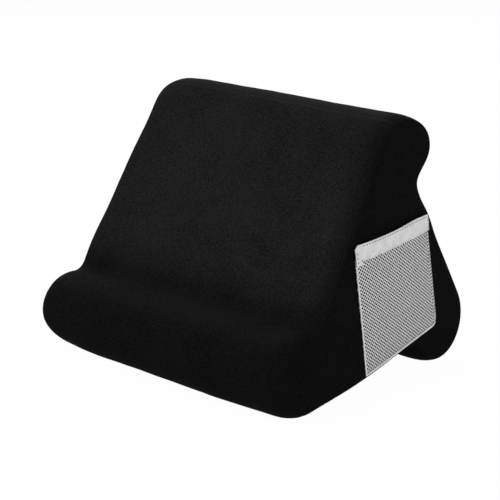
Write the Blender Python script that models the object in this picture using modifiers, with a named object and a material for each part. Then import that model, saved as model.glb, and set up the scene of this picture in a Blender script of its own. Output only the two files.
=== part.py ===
"""Tablet cushion stand: a three-lobed foam wedge in a sewn cover, with a mesh pocket on one end.

Metres, +Z up. The stand faces -Y, its width runs along X and the pocket is on the +X end.
The origin is on the floor, in the middle of the footprint.

In section the cover is a belt round three lobes: front, top and rear. Going clockwise, each face
leaves its lobe through a ledge, a hollow that takes the edge of a tablet, and runs straight on
to the next lobe.
"""

import math
from collections import namedtuple

import bmesh
import bpy
from mathutils import Matrix, Vector

# Overall form
WIDTH = 0.280
END_LEAN = 0.061
FRONT_LOBE_RADIUS = 0.035
TOP_LOBE_RADIUS = 0.036
REAR_LOBE_RADIUS = 0.038
FRONT_FACE_SPAN = 0.199
BACK_FACE_SPAN = 0.157
UNDERSIDE_SPAN = 0.176
FRONT_FACE_SETBACK = 0.0052
BACK_FACE_SETBACK = 0.0083
UNDERSIDE_SETBACK = 0.0070
LEDGE_RADIUS = 0.0106
FOOT_WIDTH = 0.009

# Rounding towards the two ends
END_ROUNDING_LENGTH = 0.022
END_ROUNDING_DEPTH = 0.0045
END_ROUNDING_POWER = 3.0

# Cover
COVER_THICKNESS = 0.0020
CLEARANCE = 0.0003
TOP_SEAM_TURN = math.radians(38)
REAR_SEAM_TURN = math.radians(28)
UNDERSIDE_SEAM_DISTANCE = 0.018

# Pocket: its corners, measured along the faces and in from them, and its make
POCKET_TOP_FRONT_RISE = 0.0675
POCKET_TOP_FRONT_INSET = 0.0094
POCKET_TOP_REAR_DROP = 0.0215
POCKET_TOP_REAR_INSET = 0.0050
POCKET_LOW_FRONT_RUN = 0.068
POCKET_LOW_FRONT_INSET = 0.0030
POCKET_LOW_REAR_SHIFT = 0.0026
POCKET_LOW_REAR_DROP = 0.0036
POCKET_BOW = 0.0050
BOW_FLATNESS = 4
MESH_THICKNESS = 0.0008
MESH_COLUMNS = 10
MESH_ROWS = 11
MESH_BAR_WIDTH = 0.0022
MESH_SLANT = 0.0012
BAND_HEIGHT = 0.0135
BAND_THICKNESS = 0.0012
SELVEDGE_WIDTH = 0.0032
SELVEDGE_THICKNESS = 0.0012

# Smoothness of the round stretches
ARC_STEP = math.radians(13)
ROUNDING_STEPS = 5
ROUNDING_CROWDING = 1.4
SHARP_ANGLE = math.radians(40)
MERGE_DISTANCE = 1e-6
BAND_COLUMNS = 14
SELVEDGE_ROWS = 6

Face = namedtuple("Face", "heading outward ledge")
Lobe = namedtuple("Lobe", "centre radius")


def unit(angle):
    return Vector((math.cos(angle), math.sin(angle)))


def angle_of(direction):
    return math.atan2(direction.y, direction.x)


# Section of the stand in the (y, z) plane

def centre_height(radius):
    """Height of the centre of a lobe that rests on a foot of the stated width."""
    return math.sqrt(radius ** 2 - (FOOT_WIDTH / 2) ** 2)


def place_lobes():
    """The front, top and rear lobes, the outer two standing on the floor."""
    front_height = centre_height(FRONT_LOBE_RADIUS)
    rear_height = centre_height(REAR_LOBE_RADIUS)
    reach = math.sqrt(UNDERSIDE_SPAN ** 2 - (rear_height - front_height) ** 2)
    front_y = (FRONT_LOBE_RADIUS - REAR_LOBE_RADIUS - reach) / 2
    front = Vector((front_y, front_height))
    rear = Vector((front_y + reach, rear_height))
    along = (rear - front).normalized()
    up = Vector((-along.y, along.x))
    side = (FRONT_FACE_SPAN ** 2 - BACK_FACE_SPAN ** 2 + UNDERSIDE_SPAN ** 2) / (2 * UNDERSIDE_SPAN)
    top = front + along * side + up * math.sqrt(FRONT_FACE_SPAN ** 2 - side ** 2)
    return [
        Lobe(front, FRONT_LOBE_RADIUS),
        Lobe(top, TOP_LOBE_RADIUS),
        Lobe(rear, REAR_LOBE_RADIUS),
    ]


def place_face(lobe, following, setback):
    """The face from one lobe to the next: it touches the next lobe and passes the first one's centre
    at the setback, where the ledge hollow rounds it into the first lobe."""
    between = following.centre - lobe.centre
    heading_angle = angle_of(between) + math.asin((following.radius - setback) / between.length)
    heading = unit(heading_angle)
    outward = Vector((-heading.y, heading.x))
    off_centre = setback + LEDGE_RADIUS
    along = math.sqrt((lobe.radius + LEDGE_RADIUS) ** 2 - off_centre ** 2)
    ledge = lobe.centre + outward * off_centre + heading * along
    return Face(heading, outward, ledge)


def place_faces(lobes):
    setbacks = (FRONT_FACE_SETBACK, BACK_FACE_SETBACK, UNDERSIDE_SETBACK)
    return [place_face(lobes[i], lobes[(i + 1) % 3], setbacks[i]) for i in range(3)]


LOBES = place_lobes()
FACES = place_faces(LOBES)


def arc(centre, radius, start, end, sample_start, sample_end):
    """Points of an arc. The sample angles set how many, so that every depth has the same number."""
    steps = max(1, math.ceil(abs(sample_end - sample_start) / ARC_STEP - 1e-6))
    return [centre + unit(start + (end - start) * i / steps) * radius for i in range(steps + 1)]


def lobe_turn(index):
    """Angles at which the clockwise section reaches and leaves a lobe."""
    start = angle_of(FACES[index - 1].outward)
    end = angle_of(FACES[index].ledge - LOBES[index].centre)
    while end > start:
        end -= math.tau
    return start, end


def foot_angle(lobe, depth):
    """Half the angle that the flat foot takes up on a lobe, at a depth below the surface."""
    return math.acos((lobe.centre.y - depth) / (lobe.radius - depth))


def ledge_arc(index, depth):
    face = FACES[index]
    start = angle_of(LOBES[index].centre - face.ledge)
    end = angle_of(-face.outward)
    while end < start:
        end += math.tau
    return arc(face.ledge, LEDGE_RADIUS + depth, start, end, start, end)[1:]


def front_lobe_path(depth):
    """Round the front lobe from the underside, over its foot, to its ledge."""
    lobe = LOBES[0]
    start, end = lobe_turn(0)
    bottom = -math.pi / 2
    foot = foot_angle(lobe, depth)
    nominal = foot_angle(lobe, 0.0)
    radius = lobe.radius - depth
    before = arc(lobe.centre, radius, start, bottom + foot, start, bottom + nominal)
    after = arc(lobe.centre, radius, bottom - foot, end, bottom - nominal, end)
    return before + after


def top_lobe_paths(depth):
    """Round the top lobe, before and after the top seam."""
    lobe = LOBES[1]
    start, end = lobe_turn(1)
    seam = start - TOP_SEAM_TURN
    radius = lobe.radius - depth
    before = arc(lobe.centre, radius, start, seam, start, seam)
    after = arc(lobe.centre, radius, seam, end, seam, end)
    return before, after


def rear_lobe_paths(depth):
    """Round the rear lobe and over its foot, before and after the rear seam."""
    lobe = LOBES[2]
    start, end = lobe_turn(2)
    bottom = -math.pi / 2
    foot = foot_angle(lobe, depth)
    nominal = foot_angle(lobe, 0.0)
    seam = bottom - nominal - REAR_SEAM_TURN
    radius = lobe.radius - depth
    before = arc(lobe.centre, radius, start, bottom + foot, start, bottom + nominal)
    before += arc(lobe.centre, radius, bottom - foot, seam, bottom - nominal, seam)
    after = arc(lobe.centre, radius, seam, end, seam, end)
    return before, after


def underside_seam(depth):
    face = FACES[2]
    touch = LOBES[0].centre + face.outward * (LOBES[0].radius - depth)
    return touch - face.heading * UNDERSIDE_SEAM_DISTANCE


def front_path(depth):
    return [underside_seam(depth)] + front_lobe_path(depth) + ledge_arc(0, depth) + top_lobe_paths(depth)[0]


def rear_path(depth):
    return top_lobe_paths(depth)[1] + ledge_arc(1, depth) + rear_lobe_paths(depth)[0]


def base_path(depth):
    return rear_lobe_paths(depth)[1] + ledge_arc(2, depth) + [underside_seam(depth)]


def whole_path(depth):
    """The closed section, its first point given again at the end."""
    return front_path(depth) + rear_path(depth)[1:] + base_path(depth)[1:]


def trimmed(points):
    """The points with each end of the run drawn back from its seam. The cut edge of a panel stands
    square to its last facet, so on a round stretch it leans towards its neighbour by half a step."""
    trim = CLEARANCE / 2 + COVER_THICKNESS * math.tan(ARC_STEP / 2)
    first = points[0] + (points[1] - points[0]).normalized() * trim
    last = points[-1] + (points[-2] - points[-1]).normalized() * trim
    return [first] + points[1:-1] + [last]


# Places along the width

def end_inset(distance, depth):
    """How far the section draws in at a distance from the end, for a surface at a depth."""
    share = 1 - distance / END_ROUNDING_LENGTH
    slope = END_ROUNDING_POWER * END_ROUNDING_DEPTH / END_ROUNDING_LENGTH
    slope *= share ** (END_ROUNDING_POWER - 1)
    return END_ROUNDING_DEPTH * share ** END_ROUNDING_POWER + depth * math.hypot(1, slope)


def stations(depth, end_distance):
    """Side, distance from that end and inset of each cross section, from the right end to the left."""
    distances = []
    for i in range(ROUNDING_STEPS + 1):
        share = (i / ROUNDING_STEPS) ** ROUNDING_CROWDING
        distances.append(end_distance + (END_ROUNDING_LENGTH - end_distance) * share)
    right = [(1, distance, end_inset(distance, depth)) for distance in distances]
    left = [(-1, distance, inset) for side, distance, inset in reversed(right)]
    return right + left


def end_x(height):
    """Distance of the end faces from the middle plane at a height."""
    return WIDTH / 2 - END_LEAN * height


# Making of objects

def clear_scene():
    for thing in list(bpy.data.objects):
        bpy.data.objects.remove(thing, do_unlink=True)


def make_collection():
    collection = bpy.data.collections.new("tablet_cushion_stand")
    bpy.context.scene.collection.children.link(collection)
    return collection


def make_material(name, colour, roughness):
    material = bpy.data.materials.new(name)
    material.use_nodes = True
    shader = material.node_tree.nodes["Principled BSDF"]
    shader.inputs["Base Color"].default_value = (*colour, 1.0)
    shader.inputs["Roughness"].default_value = roughness
    shader.inputs["Metallic"].default_value = 0.0
    return material


def add_object(collection, name, mesh, material):
    thing = bpy.data.objects.new(name, mesh)
    mesh.materials.append(material)
    collection.objects.link(thing)
    return thing


def laid_sheet(rows):
    """A grid of faces laid through rows of points, all rows having as many points."""
    across = len(rows[0]) - 1
    along = len(rows) - 1
    sheet = bmesh.new()
    bmesh.ops.create_grid(sheet, x_segments=across, y_segments=along, size=1.0)
    for vertex in sheet.verts:
        column = round((vertex.co.x + 1) / 2 * across)
        row = round((vertex.co.y + 1) / 2 * along)
        vertex.co = rows[row][column]
    sheet.normal_update()
    return sheet


def finish_mesh(shape, name):
    mesh = bpy.data.meshes.new(name)
    shape.to_mesh(mesh)
    shape.free()
    mesh.shade_smooth()
    mesh.set_sharp_from_angle(angle=SHARP_ANGLE)
    return mesh


def add_thickness(thing, thickness, side, even):
    """Solidify an open sheet: side 1 is towards its faces' front, -1 towards their back."""
    wall = thing.modifiers.new("wall", "SOLIDIFY")
    wall.thickness = thickness
    wall.offset = side
    wall.use_even_offset = even
    wall.use_quality_normals = True


def section_rows(path, depth, end_distance, trim):
    rows = []
    for side, distance, inset in stations(depth, end_distance):
        points = path(inset)
        if trim:
            points = trimmed(points)
        rows.append([Vector((side * (end_x(p.y) - distance), p.x, p.y)) for p in points])
    return rows


def add_cover_panel(collection, name, path, material):
    """One panel of the cover's belt, from end to end of the stand."""
    sheet = laid_sheet(section_rows(path, 0.0, 0.0, True))
    thing = add_object(collection, name, finish_mesh(sheet, name), material)
    add_thickness(thing, COVER_THICKNESS, -1, True)
    return thing


def add_foam_core(collection, material):
    depth = COVER_THICKNESS + CLEARANCE
    shape = laid_sheet(section_rows(whole_path, depth, depth, False))
    bmesh.ops.remove_doubles(shape, verts=shape.verts, dist=MERGE_DISTANCE)
    open_edges = [edge for edge in shape.edges if edge.is_boundary]
    bmesh.ops.holes_fill(shape, edges=open_edges, sides=0)
    return add_object(collection, "foam_core", finish_mesh(shape, "foam_core"), material)


def add_end_panel(collection, name, side, material):
    """A flat panel that closes one end, inside the belt's edge and leaning with the end."""
    curve = bpy.data.curves.new(name, "CURVE")
    curve.dimensions = "2D"
    curve.fill_mode = "BOTH"
    curve.extrude = COVER_THICKNESS / 2
    outline = whole_path(END_ROUNDING_DEPTH + COVER_THICKNESS + CLEARANCE)[:-1]
    slant = math.hypot(1, END_LEAN)
    spline = curve.splines.new("POLY")
    spline.points.add(len(outline) - 1)
    spline.use_cyclic_u = True
    for point, place in zip(spline.points, outline):
        point.co = (place.x * side, place.y * slant, 0.0, 1.0)
    curve.materials.append(material)
    thing = bpy.data.objects.new(name, curve)
    collection.objects.link(thing)
    across = Vector((0, side, 0))
    rise = Vector((-side * END_LEAN, 0, 1)).normalized()
    outward = across.cross(rise)
    turn = Matrix((across, rise, outward)).transposed().to_4x4()
    middle = Vector((side * WIDTH / 2, 0, 0)) - outward * COVER_THICKNESS / 2
    thing.matrix_world = Matrix.Translation(middle) @ turn
    return thing


# Pocket

def pocket_corners():
    """Lower front, lower rear, upper front and upper rear corners in the (y, z) plane."""
    front, back, under = FACES
    foot_of_front = front.ledge - front.outward * LEDGE_RADIUS
    top_of_back = back.ledge - back.outward * LEDGE_RADIUS
    touch = LOBES[0].centre + under.outward * LOBES[0].radius
    low_front = touch - under.heading * POCKET_LOW_FRONT_RUN - under.outward * POCKET_LOW_FRONT_INSET
    low_rear = LOBES[2].centre - Vector((POCKET_LOW_REAR_SHIFT, POCKET_LOW_REAR_DROP))
    top_front = foot_of_front + front.heading * POCKET_TOP_FRONT_RISE
    top_front -= front.outward * POCKET_TOP_FRONT_INSET
    top_rear = top_of_back + back.heading * POCKET_TOP_REAR_DROP
    top_rear -= back.outward * POCKET_TOP_REAR_INSET
    return low_front, low_rear, top_front, top_rear


POCKET = pocket_corners()
POCKET_WIDTH = ((POCKET[1] - POCKET[0]).length + (POCKET[3] - POCKET[2]).length) / 2
POCKET_HEIGHT = ((POCKET[2] - POCKET[0]).length + (POCKET[3] - POCKET[1]).length) / 2


def pocket_point(across, up):
    """A point of the pocket's inner face. Across and up go from 0 to 1, from its lower front corner.
    The sides and the bottom lie on the end panel, and the mouth stands open."""
    low_front, low_rear, top_front, top_rear = POCKET
    low = low_front.lerp(low_rear, across)
    high = top_front.lerp(top_rear, across)
    place = low.lerp(high, up)
    bow = POCKET_BOW * (1 - (2 * across - 1) ** BOW_FLATNESS) * (1 - (1 - up) ** 2)
    return Vector((end_x(place.y) + CLEARANCE + bow, place.x, place.y))


def pocket_rows(across, up, columns, rows):
    """Rows of points over a stretch of the pocket, given as (start, end) shares of its sides."""
    grid = []
    for row in range(rows + 1):
        height = up[0] + (up[1] - up[0]) * row / rows
        line = []
        for column in range(columns + 1):
            share = across[0] + (across[1] - across[0]) * column / columns
            line.append(pocket_point(share, height))
        grid.append(line)
    return grid


def add_pocket_sheet(collection, name, rows, thickness, material):
    sheet = laid_sheet(rows)
    thing = add_object(collection, name, finish_mesh(sheet, name), material)
    add_thickness(thing, thickness, 1, False)
    return thing


def add_pocket_mesh(collection, across, up, material):
    """The open mesh: bars crossing between slanted gaps."""
    sheet = laid_sheet(pocket_rows(across, up, MESH_COLUMNS, MESH_ROWS))
    gaps = list(sheet.faces)
    bmesh.ops.inset_individual(sheet, faces=gaps, thickness=MESH_BAR_WIDTH)
    for gap in gaps:
        middle = gap.calc_center_median()
        for vertex in gap.verts:
            vertex.co.y += math.copysign(MESH_SLANT, vertex.co.z - middle.z)
    bmesh.ops.delete(sheet, geom=gaps, context="FACES")
    thing = add_object(collection, "pocket_mesh", finish_mesh(sheet, "pocket_mesh"), material)
    add_thickness(thing, MESH_THICKNESS, 1, False)
    return thing


def add_pocket(collection, mesh_material, band_material):
    side = SELVEDGE_WIDTH / POCKET_WIDTH
    base = SELVEDGE_WIDTH / POCKET_HEIGHT
    edge_slope = 2 * BOW_FLATNESS * POCKET_BOW / POCKET_WIDTH
    side_gap = (CLEARANCE + MESH_THICKNESS * edge_slope) / POCKET_WIDTH
    rise_gap = CLEARANCE / POCKET_HEIGHT
    band = 1 - BAND_HEIGHT / POCKET_HEIGHT
    sides_up = (base + rise_gap, band - rise_gap)
    inside = (side + side_gap, 1 - side - side_gap)
    add_pocket_mesh(collection, inside, sides_up, mesh_material)
    strips = (
        ("pocket_top_band", (0, 1), (band, 1), BAND_COLUMNS, 1, BAND_THICKNESS),
        ("pocket_front_selvedge", (0, side), sides_up, 1, SELVEDGE_ROWS, SELVEDGE_THICKNESS),
        ("pocket_rear_selvedge", (1 - side, 1), sides_up, 1, SELVEDGE_ROWS, SELVEDGE_THICKNESS),
        ("pocket_bottom_selvedge", (0, 1), (0, base), BAND_COLUMNS, 1, SELVEDGE_THICKNESS),
    )
    for name, across, up, columns, rows, thickness in strips:
        grid = pocket_rows(across, up, columns, rows)
        add_pocket_sheet(collection, name, grid, thickness, band_material)


def main():
    clear_scene()
    collection = make_collection()
    velvet = make_material("black_velvet", (0.012, 0.012, 0.013), 0.9)
    foam = make_material("foam", (0.72, 0.68, 0.55), 0.95)
    net = make_material("grey_mesh", (0.42, 0.42, 0.42), 0.7)
    tape = make_material("grey_tape", (0.62, 0.62, 0.62), 0.6)
    add_foam_core(collection, foam)
    add_cover_panel(collection, "front_panel", front_path, velvet)
    add_cover_panel(collection, "rear_panel", rear_path, velvet)
    add_cover_panel(collection, "base_panel", base_path, velvet)
    add_end_panel(collection, "left_end_panel", -1, velvet)
    add_end_panel(collection, "right_end_panel", 1, velvet)
    add_pocket(collection, net, tape)


main()
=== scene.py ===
"""Tablet cushion stand: sewn velvet cover over foam, with a net pocket on one end, and its studio.

Metres, +Z up. The stand faces -Y, its width runs along X and the pocket is on the +X end.
"""

import math

import bmesh
import bpy
from bpy.props import FloatProperty, FloatVectorProperty, IntProperty, PointerProperty
from mathutils import Matrix, Vector, geometry, noise


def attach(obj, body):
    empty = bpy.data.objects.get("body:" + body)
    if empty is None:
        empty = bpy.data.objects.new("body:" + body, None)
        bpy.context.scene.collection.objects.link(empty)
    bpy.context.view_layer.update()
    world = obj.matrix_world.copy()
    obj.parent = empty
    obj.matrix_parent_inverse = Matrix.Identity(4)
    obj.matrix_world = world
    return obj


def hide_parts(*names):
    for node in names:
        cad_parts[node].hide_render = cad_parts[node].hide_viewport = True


bl_info = {
    "name": "Tablet cushion stand",
    "version": (1, 0, 0),
    "blender": (4, 5, 0),
    "location": "3D View > Sidebar > Stand",
    "description": "Makes the sewn cover, the net pocket and the studio of a tablet cushion stand",
    "category": "Object",
}

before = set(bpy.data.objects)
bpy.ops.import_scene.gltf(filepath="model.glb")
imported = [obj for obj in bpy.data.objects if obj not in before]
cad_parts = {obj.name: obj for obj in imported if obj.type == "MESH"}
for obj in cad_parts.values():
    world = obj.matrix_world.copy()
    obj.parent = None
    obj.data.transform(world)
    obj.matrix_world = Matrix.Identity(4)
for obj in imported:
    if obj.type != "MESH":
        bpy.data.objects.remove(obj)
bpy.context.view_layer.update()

# Panels of the cover: each one's number in the mesh and the node that it replaces
PANELS = ("front_panel", "rear_panel", "base_panel", "left_end_panel", "right_end_panel")
FRONT, REAR, BASE, LEFT_END, RIGHT_END = range(5)


# Sizes and colours

def length(name, default, description):
    return FloatProperty(name=name, default=default, description=description, unit="LENGTH",
                         subtype="DISTANCE", precision=5)


def angle(name, default, description):
    return FloatProperty(name=name, default=math.radians(default), description=description,
                         unit="ROTATION", subtype="ANGLE")


def plain(name, default, description):
    return FloatProperty(name=name, default=default, description=description)


def number(name, default, description):
    return IntProperty(name=name, default=default, description=description)


def colour(name, default, description):
    return FloatVectorProperty(name=name, default=default, description=description,
                               subtype="COLOR", size=3, min=0.0, max=1.0)


def place(name, default, description, size=3):
    return FloatVectorProperty(name=name, default=default, description=description,
                               subtype="XYZ" if size == 3 else "NONE", size=size, precision=5)


class StandForm(bpy.types.PropertyGroup):
    """The stand's section and the rounding of its ends."""

    right_reach: length("Right reach", 0.140, "Distance of the right end from the middle at floor level")
    left_reach: length("Left reach", 0.1385, "Distance of the left end from the middle at floor level")
    right_lean: plain("Right lean", 0.061, "How far the right end leans in for each metre of height")
    left_lean: plain("Left lean", 0.028, "How far the left end leans in for each metre of height")
    front_radius: length("Front lobe", 0.035, "Radius of the front lobe")
    top_radius: length("Top lobe", 0.0380, "Radius of the top lobe")
    rear_radius: length("Rear lobe", 0.038, "Radius of the rear lobe")
    front_span: length("Front span", 0.1992, "Distance between the front and top lobe centres")
    back_span: length("Back span", 0.1549, "Distance between the top and rear lobe centres")
    under_span: length("Underside span", 0.1785, "Distance between the rear and front lobe centres")
    set_back: length("Set back", 0.0010, "Place of the middle between front and rear along Y")
    front_setback: length("Front setback", 0.0052, "How far the front face passes its lobe's centre")
    back_setback: length("Back setback", 0.0050, "How far the back face passes its lobe's centre")
    under_setback: length("Underside setback", 0.0070, "How far the underside passes its lobe's centre")
    front_ledge: length("Front ledge", 0.0106, "Radius of the hollow between front lobe and front face")
    rear_ledge: length("Rear ledge", 0.0140, "Radius of the hollow between top lobe and back face")
    under_ledge: length("Underside ledge", 0.0106, "Radius of the hollow between rear lobe and base")
    foot_width: length("Foot", 0.009, "Width of the flat that a lobe rests on")
    rounding_length: length("End rounding length", 0.022, "Width over which the section draws in")
    rounding_depth: length("End rounding depth", 0.0045, "How far the section draws in at an end")
    rounding_power: plain("End rounding power", 3.0, "How late the end rounding sets in")
    top_seam_turn: angle("Top seam", 38, "Turn round the top lobe from the front face to the seam")
    rear_seam_turn: angle("Rear seam", 28, "Turn round the rear lobe from its foot to the seam")
    under_seam: length("Underside seam", 0.018, "Distance of the seam from the front lobe")


class CoverMake(bpy.types.PropertyGroup):
    """How the cover is cut, filled and sewn."""

    cell: length("Cell", 0.0052, "Size of the cloth's cells before it is made finer")
    hollow_cell: length("Hollow cell", 0.0032, "Size of the cells in the three hollows")
    cloth_thickness: length("Cloth", 0.0007, "Thickness of the cloth")
    foam_depth: length("Foam depth", 0.0028, "Depth of the foam below the cloth's face")
    pressure: plain("Pressure", 4.0, "Pressure that fills the cover")
    swell_limit: length("Swell limit", 0.0022, "Most that the cover swells")
    end_swell_limit: length("End swell limit", 0.0012, "Most that an end panel swells")
    frames: number("Frames", 20, "Frames that the swelling takes")
    seam_depth: length("Seam depth", 0.0006, "How far a seam is drawn in")
    unevenness: length("Unevenness", 0.0006, "Height of the foam's soft unevenness")
    pucker_height: length("Puckers", 0.0009, "Height of the gathers beside the front hollow")


class PocketMake(bpy.types.PropertyGroup):
    """The pocket's corners on the end panel, its net, tapes and stitches."""

    low_front: place("Lower front corner", (-0.0180, 0.0187), "Place along Y and Z", 2)
    low_rear: place("Lower rear corner", (0.0823, 0.0366), "Place along Y and Z", 2)
    top_front: place("Upper front corner", (-0.0305, 0.1277), "Place along Y and Z", 2)
    top_rear: place("Upper rear corner", (0.0683, 0.1336), "Place along Y and Z", 2)
    bow: length("Bow", 0.0028, "How far the mouth stands off the end panel")
    bow_flatness: number("Bow flatness", 4, "How flat the bow is")
    net_thickness: length("Net", 0.00010, "Thickness of the net")
    hole_step: place("Hole step", (0.00127, 0.00190), "From a hole to the next one in its row", 2)
    row_step: place("Row step", (0.00198, -0.00135), "From a row of holes to the next", 2)
    thread: length("Thread", 0.00015, "Half the width left between two holes")
    corner_rounding: length("Corner rounding", 0.0075, "Rounding of the lower rear corner")
    net_tuck: length("Net tuck", 0.0007, "How far the net reaches under its tapes")
    band_height: length("Band", 0.0135, "Height of the band along the mouth")
    band_thickness: length("Band thickness", 0.0010, "Thickness of the band")
    band_corner: length("Band corner", 0.0032, "How much is cut off the band's front corner")
    fold_width: length("Band fold", 0.0066, "Width of the fold over the band's front end")
    fold_height: length("Band fold height", 0.0160, "Height of that fold")
    edge_width: length("Edge tape", 0.0014, "Width of the tape along the front side and the bottom")
    chain_width: length("Chain edge", 0.0046, "Width of the chained edge along the rear side")
    chain_pitch: length("Chain pitch", 0.0031, "Height of one link of the chained edge")
    stitch_length: length("Stitch", 0.0021, "Length of one stitch")
    stitch_pitch: length("Stitch pitch", 0.0034, "Distance from a stitch to the next")
    stitch_thread: length("Stitch thread", 0.00034, "Radius of the sewing thread")


class Finish(bpy.types.PropertyGroup):
    """Colours of the cloth, net, tapes, thread, foam and floor."""

    velvet_dark: colour("Velvet, dark", (0.0030, 0.0030, 0.0031), "Between the tips of the pile")
    velvet_light: colour("Velvet, light", (0.0195, 0.0194, 0.0198), "Tips of the pile")
    net: colour("Net", (0.73, 0.73, 0.73), "Thread of the net")
    tape: colour("Tape", (0.69, 0.69, 0.69), "Tapes round the pocket")
    stitch: colour("Stitch", (0.045, 0.045, 0.048), "Sewing thread on the band")
    foam: colour("Foam", (0.72, 0.68, 0.55), "Foam filling")
    floor: colour("Floor", (0.86, 0.86, 0.86), "Studio floor")


class Studio(bpy.types.PropertyGroup):
    """The camera, as it stood for the photograph, and the lamps."""

    azimuth: angle("Azimuth", 41.609, "Turn of the camera round the stand from the front")
    elevation: angle("Elevation", 16.433, "Height of the camera above the horizon, as an angle")
    roll: angle("Roll", 0.316, "Turn of the picture")
    distance: length("Distance", 1.185682, "Distance of the camera from the point that it looks at")
    target: place("Target", (0.0, -0.00905, 0.090), "The point that the camera looks at")
    focal_pixels: plain("Focal length", 1380.969, "Focal length in pixels of the picture")
    centre_x: plain("Picture centre X", 244.172, "Pixel column on the camera's axis")
    centre_y: plain("Picture centre Y", 254.149, "Pixel row on the camera's axis")
    picture: plain("Picture", 500.0, "Width of the picture in pixels")
    key_power: plain("Key lamp", 30.0, "Power of the lamp above and in front")
    fill_power: plain("Fill lamp", 16.0, "Power of the lamp on the pocket's side")
    back_power: plain("Back lamp", 22.0, "Power of the lamp behind the stand")
    room_light: plain("Room light", 0.30, "Strength of the light from all round")


# Section of the stand in the (y, z) plane

def unit(turn):
    return Vector((math.cos(turn), math.sin(turn)))


def turn_of(direction):
    return math.atan2(direction.y, direction.x)


# Distances from a seam of the rows of points beside it, and the step between rows near an end
NEAR_SEAM = (0.0, 0.0012, 0.0028, 0.0052)
END_STEP = 0.0036


def shares(span, step, seam_first=False, seam_last=False):
    """Places from 0 to 1 along a stretch about a step apart, and closer together beside a seam."""
    head = NEAR_SEAM if seam_first else (0.0,)
    tail = NEAR_SEAM if seam_last else (0.0,)
    first, last = head[-1], span - tail[-1]
    count = max(1, round((last - first) / step))
    middle = [first + (last - first) * i / count for i in range(1, count)]
    marks = [*head, *middle, *(span - t for t in reversed(tail))]
    return [mark / span for mark in marks]


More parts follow.
